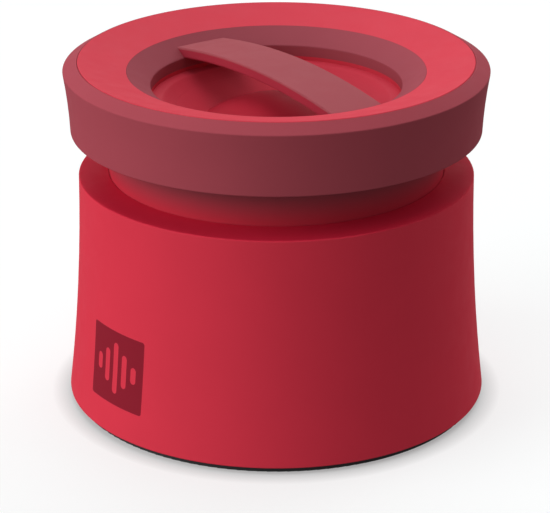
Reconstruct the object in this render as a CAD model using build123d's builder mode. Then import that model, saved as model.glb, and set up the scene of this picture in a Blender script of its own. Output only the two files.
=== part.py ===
from build123d import *

import math
import os

# A small pop-up wireless speaker. Millimetres, +Z up, origin at the middle of the
# foot's underside, front towards -Y, carry strap along X, keys and socket at +Y.
# The top (cap, driver and neck sleeve) slides straight down into the flared body.

# ---- driving dimensions -------------------------------------------------------

# Flared body
FOOT_H = 1.0
BODY_BOTTOM_R = 32.25
BODY_RIM_R = 30.0
BODY_RIM_Z = 35.7
FLARE_TOP_Z = 36.5
FLARE_ARC_R = 281.0
EDGE_ROUND = 0.2

# Cap
CAP_BOTTOM_R = 31.05
CAP_BOTTOM_Z = 42.7
CAP_MID_R = 31.42
CAP_MID_Z = 47.9
CAP_WIDEST_R = 32.0
CAP_WIDEST_Z = 52.1
CAP_TOP_R = 29.8
CAP_TOP_Z = 53.4

# Red funnel ring and the maroon ring inside it
FUNNEL_INNER_R = 22.5
FUNNEL_INNER_Z = 51.65
THROAT_R = 18.9
THROAT_TOP_Z = 49.45

# Carry strap
STRAP_WIDTH = 8.8
STRAP_CROWN_Z = 52.5
STRAP_ARC_R = 114.0
STRAP_CORE_T = 1.35
STRAP_SKIN_T = 0.3
STRAP_END_X = 21.8
STRAP_ROUND = 0.3
STRAP_SKIN_ROUND = 0.2

# Sliding neck
NECK_R = 25.4
NECK_BORE_R = 24.0
NECK_FLANGE_R = 27.35
SLIDE_CLEARANCE = 0.1

# Driver, the common 40 mm class
DRIVER_FLANGE_R = 20.3
SURROUND_RIM_R = 17.2
CONE_RIM_R = 15.2
COIL_R = 10.35
DOME_R = 10.9
YOKE_R = 13.0

# Keys
KEY_WIDTH = 7.1
KEY_HEIGHT = 3.5
KEY_Z = 17.2
KEY_PROUD = 0.5
KEY_ANGLES = {"volume_down_key": 72.0, "play_key": 90.0, "volume_up_key": 108.0}
LED_ANGLE = 58.0
MIC_ANGLE = 122.0

# Front badge
BADGE_ANGLE = -85.7
BADGE_Z = 11.45
BADGE_WIDTH = 12.0
BADGE_HEIGHT = 11.5
BADGE_DEPTH = 0.5

# Screws, M2
SCREW_R = 1.0
SCREW_HOLE_R = 1.1
BASE_SCREW_LENGTH = 8.0
BOARD_SCREW_LENGTH = 5.0
CAP_SCREW_LENGTH = 6.0
RING_SCREW_LENGTH = 5.0
PAN_HEAD_R = 1.8
PAN_HEAD_H = 1.3
FLAT_HEAD_R = 1.9
FLAT_HEAD_H = 1.1
DRIVE_R = 0.9
DRIVE_DEPTH = 0.6

# ---- dimensions worked out from them ------------------------------------------

LIP_RISE = 0.5
RIB_OVERLAP = 0.4
LIP_INNER_Z = BODY_RIM_Z + LIP_RISE
LIP_UNDER_Z = 33.5
LIP_BORE_R = NECK_R + SLIDE_CLEARANCE
GUIDE_BORE_R = 27.7
GUIDE_Z = 23.0
SHELL_BORE_R = 28.6
PLATE_TOP_Z = 3.2
PLATE_R = 29.9
PLATE_BORE_R = 30.0
PAD_R = 31.4
PAD_CORE_R = 29.0
PAD_SEAT_Z = FOOT_H + 0.3

WEB_UNDER_Z = CAP_BOTTOM_Z + LIP_RISE
WEB_TOP_Z = 45.0
SEAT_Z = 46.0
SEAT_BORE_R = 18.6
CAP_WALL_R = 28.6
LEDGE_Z = 51.6
RING_FLANGE_Z = 50.2
RING_FOOT_Z = 47.8
SKIRT_IN_R = 20.8
SKIRT_OUT_R = 24.2

FLANGE_BOTTOM_Z = 30.2
FLANGE_TOP_Z = 33.2
SEAL_Z = (FLANGE_BOTTOM_Z + FLANGE_TOP_Z) / 2
SEAL_R = 27.0
SEAL_T = 0.6
LEG_ANGLE = -90.0
LEG_COUNT = 3
LEG_WIDTH = 6.0
LEG_BOTTOM_Z = 22.0
LEG_IN_R = 25.5
LEG_OUT_R = 27.1

BASE_SCREW_R = 25.0
CORNER_ANGLE = 45.0
CORNER_COUNT = 4
BOSS_R = 2.6
BOSS_TOP_Z = 12.0
CAP_SCREW_R = 22.4
NECK_BOSS_R = 2.2
NECK_BOSS_Z = 36.0
RING_SCREW_R = 22.0

BATTERY_LENGTH = 30.0
BATTERY_WIDTH = 20.0
BATTERY_T = 7.4
BATTERY_PAD_T = 0.4
BATTERY_Z = PLATE_TOP_Z + BATTERY_PAD_T
FENCE_GAP = 0.5
FENCE_T = 1.0
FENCE_H = 2.0

BOARD_R = 26.5
BOARD_Z = 12.8
BOARD_T = 1.2
BOARD_TOP_Z = BOARD_Z + BOARD_T
STANDOFF_RING_R = 21.5
STANDOFF_R = 2.2

USB_WIDTH = 7.5
USB_HEIGHT = 2.45
USB_BACK = 23.6
USB_MOUTH = 29.1
USB_Z = BOARD_Z - USB_HEIGHT / 2
USB_POCKET_WIDTH = 11.2
USB_POCKET_HEIGHT = 5.0
USB_POCKET_FLOOR = 29.2
USB_POCKET_ROUND = 1.4

SWITCH_WIDTH = 6.0
SWITCH_BACK = 21.5
SWITCH_FRONT = 25.1
SWITCH_H = 6.0
SWITCH_STUB = 1.0
SWITCH_STUB_R = 1.6
KEY_TRAVEL = 0.5

BASKET_T = 0.8
BASKET_TOP_Z = SEAT_Z + BASKET_T
SURROUND_RIM_T = 0.4
SURROUND_RIM_Z = BASKET_TOP_Z + SURROUND_RIM_T
CONE_FOOT_Z = 43.7
CONE_RIM_Z = 46.0
CONE_SLOPE = (CONE_RIM_Z - CONE_FOOT_Z) / (CONE_RIM_R - COIL_R)
DOME_APEX_Z = 47.25
DOME_BASE_Z = CONE_FOOT_Z + (DOME_R - COIL_R) * CONE_SLOPE
DOME_T = 0.4
FLOOR_Z = 37.4
FLOOR_TOP_Z = 38.2
STEP_Z = 40.0
YOKE_Z = 30.6
YOKE_FLOOR_T = 1.2
YOKE_BORE_R = 11.0
YOKE_ROUND = 0.8
MAGNET_R = 9.5
POLE_R = 9.75
POLE_Z = 35.8
LEAD_X = 18.4
LEAD_GAP = 2.4
LEAD_R = 0.5
CONNECTOR_H = 3.5

ON_TOP = (Align.CENTER, Align.CENTER, Align.MIN)
HANGING = (Align.CENTER, Align.CENTER, Align.MAX)


# ---- helpers --------------------------------------------------------------------


def flare_radius(height):
    """Outer radius of the flared body at this height."""
    return BODY_RIM_R + (FLARE_TOP_Z - height) ** 2 / (2 * FLARE_ARC_R)


def side_plane(angle, height, distance=0.0):
    """A plane that faces outward at this angle about Z, with its own Y pointing up."""
    turn = math.radians(angle)
    outward = Vector(math.cos(turn), math.sin(turn), 0)
    across = Vector(-math.sin(turn), math.cos(turn), 0)
    return Plane(origin=outward * distance + Vector(0, 0, height), x_dir=across, z_dir=outward)


def flared_solid(proud):
    """The body's flared outside as one solid, moved outward by this much."""
    middle_z = (FOOT_H + BODY_RIM_Z) / 2
    with BuildPart() as flared:
        with BuildSketch(Plane.XZ):
            with BuildLine():
                side = ThreePointArc(
                    (BODY_BOTTOM_R + proud, FOOT_H),
                    (flare_radius(middle_z) + proud, middle_z),
                    (BODY_RIM_R + proud, BODY_RIM_Z),
                )
                Polyline(side @ 1, (0, BODY_RIM_Z), (0, FOOT_H), side @ 0)
            make_face()
        revolve(axis=Axis.Z)
    return flared.part


def pan_screw(shank):
    """A pan-head screw standing on its seat at the origin, its shank along -Z."""
    with BuildPart() as screw:
        Cylinder(PAN_HEAD_R, PAN_HEAD_H, align=ON_TOP)
        fillet(screw.edges().group_by(Axis.Z)[-1], PAN_HEAD_H * 0.4)
        Cylinder(SCREW_R, shank, align=HANGING)
        with Locations((0, 0, PAN_HEAD_H)):
            Box(2 * DRIVE_R, DRIVE_R / 2, DRIVE_DEPTH, align=HANGING, mode=Mode.SUBTRACT)
            Box(DRIVE_R / 2, 2 * DRIVE_R, DRIVE_DEPTH, align=HANGING, mode=Mode.SUBTRACT)
    return screw.part


def flat_screw(length):
    """A countersunk screw with its head's face at the origin, pointing along +Z."""
    with BuildPart() as screw:
        Cone(FLAT_HEAD_R, SCREW_R, FLAT_HEAD_H, align=ON_TOP)
        Cylinder(SCREW_R, length, align=ON_TOP)
        Box(2 * DRIVE_R, DRIVE_R / 2, DRIVE_DEPTH, align=ON_TOP, mode=Mode.SUBTRACT)
        Box(DRIVE_R / 2, 2 * DRIVE_R, DRIVE_DEPTH, align=ON_TOP, mode=Mode.SUBTRACT)
    return screw.part


# ---- foot and base ----------------------------------------------------------------

# Widest first, since each circle fills everything inside it
FOOT_GROOVES = (23.0, 18.0, 13.0, 8.0)
PAD_EDGE_ROUND = 0.3
GROOVE_WIDTH = 1.2
GROOVE_DEPTH = 0.4

with BuildPart() as foot_pad:
    Cylinder(PAD_R, FOOT_H, align=ON_TOP)
    fillet(foot_pad.edges().group_by(Axis.Z)[0], PAD_EDGE_ROUND)
    Cylinder(PAD_CORE_R, PAD_SEAT_Z, align=ON_TOP)
    with BuildSketch(Plane.XY):
        for groove_r in FOOT_GROOVES:
            Circle(groove_r + GROOVE_WIDTH)
            Circle(groove_r, mode=Mode.SUBTRACT)
    extrude(amount=GROOVE_DEPTH, mode=Mode.SUBTRACT)

LOCATING_RIM_OUT_R = 28.5
LOCATING_RIM_IN_R = 27.5
LOCATING_RIM_H = 1.4
RIM_NOTCH = 6.4

with BuildPart() as base_plate:
    with BuildSketch(Plane.XZ):
        Polygon(
            (0, PAD_SEAT_Z),
            (PAD_CORE_R, PAD_SEAT_Z),
            (PAD_CORE_R, FOOT_H),
            (PLATE_R, FOOT_H),
            (PLATE_R, PLATE_TOP_Z),
            (0, PLATE_TOP_Z),
            align=None,
        )
    revolve(axis=Axis.Z)
    with BuildSketch(Plane.XY.offset(PLATE_TOP_Z)):
        Circle(LOCATING_RIM_OUT_R)
        Circle(LOCATING_RIM_IN_R, mode=Mode.SUBTRACT)
        with PolarLocations(LOCATING_RIM_OUT_R, CORNER_COUNT, CORNER_ANGLE):
            Rectangle(RIM_NOTCH, RIM_NOTCH, mode=Mode.SUBTRACT)
    extrude(amount=LOCATING_RIM_H)
    fence_in = (BATTERY_LENGTH + 2 * FENCE_GAP, BATTERY_WIDTH + 2 * FENCE_GAP)
    fence_out = (fence_in[0] + 2 * FENCE_T, fence_in[1] + 2 * FENCE_T)
    with BuildSketch(Plane.XY.offset(PLATE_TOP_Z)):
        Rectangle(*fence_out)
        Rectangle(*fence_in, mode=Mode.SUBTRACT)
        with Locations((fence_out[0] / 2, 0)):
            Rectangle(4 * FENCE_T, fence_in[1] / 2, mode=Mode.SUBTRACT)
    extrude(amount=FENCE_H)
    with BuildSketch(Plane.XY.offset(PLATE_TOP_Z)):
        with PolarLocations(STANDOFF_RING_R, LEG_COUNT, LEG_ANGLE):
            Circle(STANDOFF_R)
    extrude(amount=BOARD_Z - PLATE_TOP_Z)
    with Locations((0, 0, BOARD_Z)):
        with PolarLocations(STANDOFF_RING_R, LEG_COUNT, LEG_ANGLE):
            Cylinder(SCREW_R, BOARD_SCREW_LENGTH + 1, align=HANGING, mode=Mode.SUBTRACT)
    with Locations((0, 0, PAD_SEAT_Z)):
        with PolarLocations(BASE_SCREW_R, CORNER_COUNT, CORNER_ANGLE):
            Cone(FLAT_HEAD_R, SCREW_R, FLAT_HEAD_H, align=ON_TOP, mode=Mode.SUBTRACT)
            Cylinder(SCREW_R, PLATE_TOP_Z, align=ON_TOP, mode=Mode.SUBTRACT)

with BuildPart() as base_screws:
    with Locations((0, 0, PAD_SEAT_Z)):
        with PolarLocations(BASE_SCREW_R, CORNER_COUNT, CORNER_ANGLE):
            add(flat_screw(BASE_SCREW_LENGTH))

# ---- flared lower shell and its badge -----------------------------------------------

# A plain sound-level sign: five upright bars of the shell's own red, level with the badge
BAR_HEIGHTS = (2.6, 5.2, 8.0, 5.2, 2.6)
BAR_PITCH = 2.0
BAR_WIDTH = 1.1
BADGE_CORNER = 0.4

with BuildPart() as front_badge:
    with BuildSketch(side_plane(BADGE_ANGLE, BADGE_Z)):
        RectangleRounded(BADGE_WIDTH, BADGE_HEIGHT, BADGE_CORNER)
        for bar, bar_height in enumerate(BAR_HEIGHTS):
            with Locations((BAR_PITCH * (bar - (len(BAR_HEIGHTS) - 1) / 2), 0)):
                SlotOverall(bar_height, BAR_WIDTH, rotation=90, mode=Mode.SUBTRACT)
    extrude(amount=2 * BODY_BOTTOM_R)
    add(flared_solid(0), mode=Mode.INTERSECT)
    add(flared_solid(-BADGE_DEPTH), mode=Mode.SUBTRACT)

CHANNEL_RIB_T = 1.2
CHANNEL_Z = BOARD_TOP_Z + 0.2
WINDOW_GAP = 0.1
MIC_HOLE_R = 0.6
PIPE_R = 0.9

with BuildPart() as lower_shell:
    middle_z = (FOOT_H + BODY_RIM_Z) / 2
    with BuildSketch(Plane.XZ) as shell_section:
        with BuildLine():
            side = ThreePointArc(
                (BODY_BOTTOM_R, FOOT_H),
                (flare_radius(middle_z), middle_z),
                (BODY_RIM_R, BODY_RIM_Z),
            )
            Polyline(
                side @ 1,
                (LIP_BORE_R, LIP_INNER_Z),
                (LIP_BORE_R, LIP_UNDER_Z),
                (GUIDE_BORE_R, LIP_UNDER_Z),
                (GUIDE_BORE_R, GUIDE_Z),
                (SHELL_BORE_R, GUIDE_Z),
                (SHELL_BORE_R, PLATE_TOP_Z),
                (PLATE_BORE_R, PLATE_TOP_Z),
                (PLATE_BORE_R, FOOT_H),
                side @ 0,
            )
        make_face()
        fillet(shell_section.vertices().sort_by_distance((BODY_RIM_R, BODY_RIM_Z))[:1], EDGE_ROUND)
        fillet(shell_section.vertices().sort_by_distance((BODY_BOTTOM_R, FOOT_H))[:1], EDGE_ROUND)
    revolve(axis=Axis.Z)
    # Screw bosses, each tied to the wall by a rib
    boss_rib_length = SHELL_BORE_R + RIB_OVERLAP - BASE_SCREW_R
    with BuildSketch(Plane.XY.offset(PLATE_TOP_Z)):
        with PolarLocations(BASE_SCREW_R, CORNER_COUNT, CORNER_ANGLE):
            Circle(BOSS_R)
        with PolarLocations(BASE_SCREW_R + boss_rib_length / 2, CORNER_COUNT, CORNER_ANGLE):
            Rectangle(boss_rib_length, BOSS_R)
    extrude(amount=BOSS_TOP_Z - PLATE_TOP_Z)
    with Locations((0, 0, PLATE_TOP_Z)):
        with PolarLocations(BASE_SCREW_R, CORNER_COUNT, CORNER_ANGLE):
            Cylinder(SCREW_R, BASE_SCREW_LENGTH - 1.0, align=ON_TOP, mode=Mode.SUBTRACT)
    # Three channels that keep the neck's legs from turning
    rib_length = SHELL_BORE_R + RIB_OVERLAP - LEG_IN_R
    rib_offset = LEG_WIDTH / 2 + SLIDE_CLEARANCE + CHANNEL_RIB_T / 2
    with BuildSketch(Plane.XY.offset(CHANNEL_Z)):
        with PolarLocations(LEG_IN_R + rib_length / 2, LEG_COUNT, LEG_ANGLE):
            with Locations((0, rib_offset), (0, -rib_offset)):
                Rectangle(rib_length, CHANNEL_RIB_T)
    extrude(amount=GUIDE_Z - CHANNEL_Z)
    # Windows for the keys, the light pipe, the microphone and the charging socket
    for key_angle in KEY_ANGLES.values():
        with BuildSketch(side_plane(key_angle, KEY_Z, LEG_IN_R)):
            SlotOverall(KEY_WIDTH + 2 * WINDOW_GAP, KEY_HEIGHT + 2 * WINDOW_GAP)
        extrude(amount=BODY_BOTTOM_R - LEG_IN_R, mode=Mode.SUBTRACT)
    with BuildSketch(side_plane(LED_ANGLE, KEY_Z, LEG_IN_R)):
        Circle(PIPE_R)
    extrude(amount=BODY_BOTTOM_R - LEG_IN_R, mode=Mode.SUBTRACT)
    with BuildSketch(side_plane(MIC_ANGLE, KEY_Z, LEG_IN_R)):
        Circle(MIC_HOLE_R)
    extrude(amount=BODY_BOTTOM_R - LEG_IN_R, mode=Mode.SUBTRACT)
    with BuildSketch(side_plane(90, USB_Z, LEG_IN_R)):
        Rectangle(USB_WIDTH + 2 * WINDOW_GAP, USB_HEIGHT + 2 * WINDOW_GAP)
    extrude(amount=BODY_BOTTOM_R - LEG_IN_R, mode=Mode.SUBTRACT)
    with BuildSketch(side_plane(90, USB_Z, USB_POCKET_FLOOR)):
        RectangleRounded(USB_POCKET_WIDTH, USB_POCKET_HEIGHT, USB_POCKET_ROUND)
    extrude(amount=BODY_BOTTOM_R - USB_POCKET_FLOOR, mode=Mode.SUBTRACT)
    add(front_badge.part, mode=Mode.SUBTRACT)

# ---- battery and electronics ----------------------------------------------------------

PAD_MARGIN = 1.0
BATTERY_ROUND = 1.6

with BuildPart() as battery_pad:
    with Locations((0, 0, PLATE_TOP_Z)):
        Box(BATTERY_LENGTH - 2 * PAD_MARGIN, BATTERY_WIDTH - 2 * PAD_MARGIN, BATTERY_PAD_T, align=ON_TOP)

with BuildPart() as battery_cell:
    with Locations((0, 0, BATTERY_Z)):
        Box(BATTERY_LENGTH, BATTERY_WIDTH, BATTERY_T, align=ON_TOP)
    fillet(battery_cell.edges().filter_by(Axis.X), BATTERY_ROUND)

CONNECTOR_X = 20.0
CONNECTOR_LENGTH = 4.0
CONNECTOR_WIDTH = 6.0
BATTERY_CONNECTOR_H = 3.0
BATTERY_LEAD_Z = 7.0

with BuildPart() as battery_connector:
    with Locations((CONNECTOR_X, 0, BOARD_Z)):
        Box(CONNECTOR_LENGTH, CONNECTOR_WIDTH, BATTERY_CONNECTOR_H, align=HANGING)

with BuildPart() as battery_leads:
    lead_top_z = BOARD_Z - BATTERY_CONNECTOR_H
    for lead_y in (-LEAD_GAP / 2, LEAD_GAP / 2):
        with BuildLine() as battery_route:
            FilletPolyline(
                (BATTERY_LENGTH / 2, lead_y, BATTERY_LEAD_Z),
                (CONNECTOR_X, lead_y, BATTERY_LEAD_Z),
                (CONNECTOR_X, lead_y, lead_top_z),
                radius=0.8 * (lead_top_z - BATTERY_LEAD_Z),
            )
        with BuildSketch(Plane(battery_route.line @ 0, z_dir=battery_route.line % 0)):
            Circle(LEAD_R)
        sweep(path=battery_route.line)

BOSS_GAP = 0.7

with BuildPart() as main_board:
    with BuildSketch(Plane.XY.offset(BOARD_Z)):
        Circle(BOARD_R)
        with PolarLocations(BASE_SCREW_R, CORNER_COUNT, CORNER_ANGLE):
            Circle(BOSS_R + BOSS_GAP, mode=Mode.SUBTRACT)
        with PolarLocations(BOARD_R, CORNER_COUNT, CORNER_ANGLE):
            Rectangle(2 * BOSS_R, 2 * (BOSS_R + BOSS_GAP), mode=Mode.SUBTRACT)
        with PolarLocations(STANDOFF_RING_R, LEG_COUNT, LEG_ANGLE):
            Circle(SCREW_HOLE_R, mode=Mode.SUBTRACT)
    extrude(amount=BOARD_T)

with BuildPart() as board_screws:
    with Locations((0, 0, BOARD_TOP_Z)):
        with PolarLocations(STANDOFF_RING_R, LEG_COUNT, LEG_ANGLE):
            add(pan_screw(BOARD_SCREW_LENGTH))

# Blocks of the usual sizes, as length, width and height; places are on the board's top
RADIO_BOARD = (13.0, 10.0, 0.8)
RADIO_CAN = (11.4, 7.8, 1.5)
RADIO_AT = (-9.0, -8.0)
CAN_SHIFT = 0.6
AMPLIFIER = (5.0, 5.0, 1.0)
AMPLIFIER_AT = (8.5, -8.0)
CHIP = (4.0, 4.0, 0.9)
CHIPS_AT = ((-3.0, 6.0), (1.5, -15.5), (4.0, 13.0))
COIL = (4.4, 4.4, 2.2)
COILS_AT = ((9.5, -15.0), (4.5, 3.5))
SMALL_PART = (2.0, 1.2, 0.7)
SMALL_PARTS_AT = ((-12.0, 12.5), (-12.0, 15.0), (14.5, -9.0))
CAPACITOR_R = 2.5
CAPACITOR_H = 6.0
CAPACITOR_ROUND = 0.4
CAPACITORS_AT = ((-11.5, 4.0), (11.0, 8.0))

with BuildPart() as radio_module:
    with Locations((*RADIO_AT, BOARD_TOP_Z)):
        Box(*RADIO_BOARD, align=ON_TOP)
    with Locations((RADIO_AT[0], RADIO_AT[1] - CAN_SHIFT, BOARD_TOP_Z + RADIO_BOARD[2])):
        Box(*RADIO_CAN, align=ON_TOP)

with BuildPart() as amplifier_chip:
    with Locations((*AMPLIFIER_AT, BOARD_TOP_Z)):
        Box(*AMPLIFIER, align=ON_TOP)

with BuildPart() as board_chips:
    for block, places in ((CHIP, CHIPS_AT), (COIL, COILS_AT), (SMALL_PART, SMALL_PARTS_AT)):
        with Locations(*[(*place, BOARD_TOP_Z) for place in places]):
            Box(*block, align=ON_TOP)

with BuildPart() as board_capacitors:
    with Locations(*[(*place, BOARD_TOP_Z) for place in CAPACITORS_AT]):
        Cylinder(CAPACITOR_R, CAPACITOR_H, align=ON_TOP)
    fillet(board_capacitors.edges().group_by(Axis.Z)[-1], CAPACITOR_ROUND)

with BuildPart() as speaker_connector:
    with Locations((LEAD_X, 0, BOARD_TOP_Z)):
        Box(CONNECTOR_LENGTH, CONNECTOR_WIDTH, CONNECTOR_H, align=ON_TOP)

USB_WALL = 0.3
USB_BACK_WALL = 0.6
TONGUE_WIDTH = 4.0
TONGUE_T = 0.6
TONGUE_RISE = 0.25

with BuildPart() as usb_socket:
    with BuildSketch(side_plane(90, USB_Z, USB_BACK)):
        Rectangle(USB_WIDTH, USB_HEIGHT)
    extrude(amount=USB_MOUTH - USB_BACK)
    with BuildSketch(side_plane(90, USB_Z, USB_BACK + USB_BACK_WALL)):
        Rectangle(USB_WIDTH - 2 * USB_WALL, USB_HEIGHT - 2 * USB_WALL)
        with Locations((0, TONGUE_RISE)):
            Rectangle(TONGUE_WIDTH, TONGUE_T, mode=Mode.SUBTRACT)
    extrude(amount=USB_MOUTH - USB_BACK, mode=Mode.SUBTRACT)

with BuildPart() as switch_bodies:
    for switch_angle in KEY_ANGLES.values():
        switch_middle_z = BOARD_TOP_Z + SWITCH_H / 2
        with BuildSketch(side_plane(switch_angle, switch_middle_z, SWITCH_BACK)):
            Rectangle(SWITCH_WIDTH, SWITCH_H)
        extrude(amount=SWITCH_FRONT - SWITCH_BACK)
        with BuildSketch(side_plane(switch_angle, KEY_Z, SWITCH_FRONT)):
            Circle(SWITCH_STUB_R)
        extrude(amount=SWITCH_STUB)

LED_DISTANCE = 24.5
LED_H = 0.7
LED_WIDTH = 1.6
LED_LENGTH = 0.8
PIPE_POST = 2.0
PIPE_PROUD = 0.1

with BuildPart() as status_led:
    with BuildSketch(side_plane(LED_ANGLE, BOARD_TOP_Z + LED_H / 2, LED_DISTANCE - LED_LENGTH / 2)):
        Rectangle(LED_WIDTH, LED_H)
    extrude(amount=LED_LENGTH)

with BuildPart() as light_pipe:
    post_z = BOARD_TOP_Z + LED_H
    post_height = KEY_Z + PIPE_R - post_z
    with BuildSketch(side_plane(LED_ANGLE, KEY_Z, LED_DISTANCE)):
        Circle(PIPE_R)
    extrude(amount=BODY_BOTTOM_R - LED_DISTANCE)
    with BuildSketch(side_plane(LED_ANGLE, post_z + post_height / 2, LED_DISTANCE - PIPE_POST / 2)):
        Rectangle(PIPE_POST, post_height)
    extrude(amount=PIPE_POST)
    add(flared_solid(PIPE_PROUD), mode=Mode.INTERSECT)

MIC_BLOCK = 4.4
MIC_BACK = 24.4
MIC_FRONT = 26.4
MIC_SNOUT_R = 1.6
MIC_SNOUT_END = 28.5

with BuildPart() as microphone:
    mic_height = KEY_Z + MIC_BLOCK / 2 - BOARD_TOP_Z
    with BuildSketch(side_plane(MIC_ANGLE, BOARD_TOP_Z + mic_height / 2, MIC_BACK)):
        Rectangle(MIC_BLOCK, mic_height)
    extrude(amount=MIC_FRONT - MIC_BACK)
    with BuildSketch(side_plane(MIC_ANGLE, KEY_Z, MIC_FRONT)):
        Circle(MIC_SNOUT_R)
    extrude(amount=MIC_SNOUT_END - MIC_FRONT)

# ---- keys -----------------------------------------------------------------------------

KEY_FLANGE_IN = 27.4
KEY_FLANGE_OUT = 28.2
KEY_FLANGE_EXTRA = 1.2
KEY_EDGE_ROUND = 0.1
PLUNGER_R = 1.3
PLUNGER_TIP = SWITCH_FRONT + SWITCH_STUB + KEY_TRAVEL + 0.05
GLYPH_DEPTH = 0.3
GLYPH_SIZE = 1.9
GLYPH_LINE = 0.42


def key_solid(name):
    """One key: cap, inner flange and plunger, with its generic sign cut in the face."""
    angle = KEY_ANGLES[name]
    face = flare_radius(KEY_Z) + KEY_PROUD
    with BuildPart() as key:
        with BuildSketch(side_plane(angle, KEY_Z, KEY_FLANGE_IN)):
            SlotOverall(KEY_WIDTH, KEY_HEIGHT)
        extrude(amount=BODY_BOTTOM_R + 2 - KEY_FLANGE_IN)
        add(flared_solid(KEY_PROUD), mode=Mode.INTERSECT)
        fillet(key.edges().filter_by(GeomType.LINE, reverse=True).group_by(SortBy.LENGTH)[-1], KEY_EDGE_ROUND)
        with BuildSketch(side_plane(angle, KEY_Z, KEY_FLANGE_IN)):
            SlotOverall(KEY_WIDTH + KEY_FLANGE_EXTRA, KEY_HEIGHT + KEY_FLANGE_EXTRA)
        extrude(amount=KEY_FLANGE_OUT - KEY_FLANGE_IN)
        with BuildSketch(side_plane(angle, KEY_Z, PLUNGER_TIP)):
            Circle(PLUNGER_R)
        extrude(amount=KEY_FLANGE_IN - PLUNGER_TIP)
        with BuildSketch(side_plane(angle, KEY_Z, face - GLYPH_DEPTH)):
            if name == "play_key":
                RegularPolygon(GLYPH_SIZE * 0.55, 3)
            else:
                Rectangle(GLYPH_SIZE, GLYPH_LINE)
            if name == "volume_up_key":
                Rectangle(GLYPH_LINE, GLYPH_SIZE)
        extrude(amount=2.0, mode=Mode.SUBTRACT)
    return key.part


with BuildPart() as volume_down_key:
    add(key_solid("volume_down_key"))

with BuildPart() as play_key:
    add(key_solid("play_key"))

with BuildPart() as volume_up_key:
    add(key_solid("volume_up_key"))

# ---- cap, rings and carry strap -------------------------------------------------------------

CAP_RIB_COUNT = 8
CAP_RIB_T = 1.2
CAP_RIB_TOP_Z = 50.0
CAP_RIB_IN_R = SKIRT_OUT_R + 0.2

with BuildPart() as cap_shell:
    with BuildSketch(Plane.XZ) as cap_section:
        with BuildLine():
            wall = ThreePointArc(
                (CAP_BOTTOM_R, CAP_BOTTOM_Z),
                (CAP_MID_R, CAP_MID_Z),
                (CAP_WIDEST_R, CAP_WIDEST_Z),
            )
            Polyline(
                wall @ 1,
                (CAP_TOP_R, CAP_TOP_Z),
                (CAP_TOP_R, LEDGE_Z),
                (CAP_WALL_R, LEDGE_Z),
                (CAP_WALL_R, WEB_TOP_Z),
                (DRIVER_FLANGE_R, WEB_TOP_Z),
                (DRIVER_FLANGE_R, SEAT_Z),
                (SEAT_BORE_R, SEAT_Z),
                (SEAT_BORE_R, WEB_UNDER_Z),
                (NECK_R + LIP_RISE, WEB_UNDER_Z),
                wall @ 0,
            )
        make_face()
        fillet(cap_section.vertices().sort_by_distance((CAP_BOTTOM_R, CAP_BOTTOM_Z))[:1], EDGE_ROUND)
        fillet(cap_section.vertices().sort_by_distance((CAP_WIDEST_R, CAP_WIDEST_Z))[:1], EDGE_ROUND)
        fillet(cap_section.vertices().sort_by_distance((CAP_TOP_R, CAP_TOP_Z))[:1], EDGE_ROUND / 2)
    revolve(axis=Axis.Z)
    rib_length = CAP_WALL_R + RIB_OVERLAP - CAP_RIB_IN_R
    with BuildSketch(Plane.XY.offset(WEB_TOP_Z)):
        with PolarLocations(CAP_RIB_IN_R + rib_length / 2, CAP_RIB_COUNT, CORNER_ANGLE / 2):
            Rectangle(rib_length, CAP_RIB_T)
    extrude(amount=CAP_RIB_TOP_Z - WEB_TOP_Z)
    with Locations((0, 0, WEB_TOP_Z)):
        with PolarLocations(CAP_SCREW_R, CORNER_COUNT, CORNER_ANGLE):
            Cylinder(SCREW_HOLE_R, 4.0, mode=Mode.SUBTRACT)
        with PolarLocations(RING_SCREW_R, CORNER_COUNT):
            Cylinder(SCREW_HOLE_R, 4.0, mode=Mode.SUBTRACT)

CORE_OUT_R = STRAP_ARC_R - STRAP_SKIN_T
CORE_IN_R = CORE_OUT_R - STRAP_CORE_T
STRAP_CENTRE_Z = STRAP_CROWN_Z - STRAP_ARC_R

with BuildPart() as strap_core:
    with BuildSketch(Plane.XZ):
        with Locations((0, STRAP_CENTRE_Z)):
            Circle(CORE_OUT_R)
            Circle(CORE_IN_R, mode=Mode.SUBTRACT)
        with Locations((0, STRAP_CROWN_Z)):
            Rectangle(2 * STRAP_END_X, 20, mode=Mode.INTERSECT)
    extrude(amount=STRAP_WIDTH / 2, both=True)
    long_edges = strap_core.edges().filter_by(GeomType.CIRCLE)
    fillet(long_edges.filter_by(lambda edge: edge.radius < CORE_OUT_R - STRAP_ROUND), STRAP_ROUND)

with BuildPart() as carry_strap:
    with BuildSketch(Plane.XZ):
        with Locations((0, STRAP_CENTRE_Z)):
            Circle(STRAP_ARC_R)
            Circle(CORE_OUT_R, mode=Mode.SUBTRACT)
        with Locations((0, STRAP_CROWN_Z)):
            Rectangle(2 * STRAP_END_X, 20, mode=Mode.INTERSECT)
    extrude(amount=STRAP_WIDTH / 2, both=True)
    long_edges = carry_strap.edges().filter_by(GeomType.CIRCLE)
    fillet(long_edges.filter_by(lambda edge: edge.radius > CORE_OUT_R + STRAP_SKIN_T / 2), STRAP_SKIN_ROUND)

HEAD_POCKET_R = 2.3
HEAD_POCKET_H = 1.8

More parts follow.
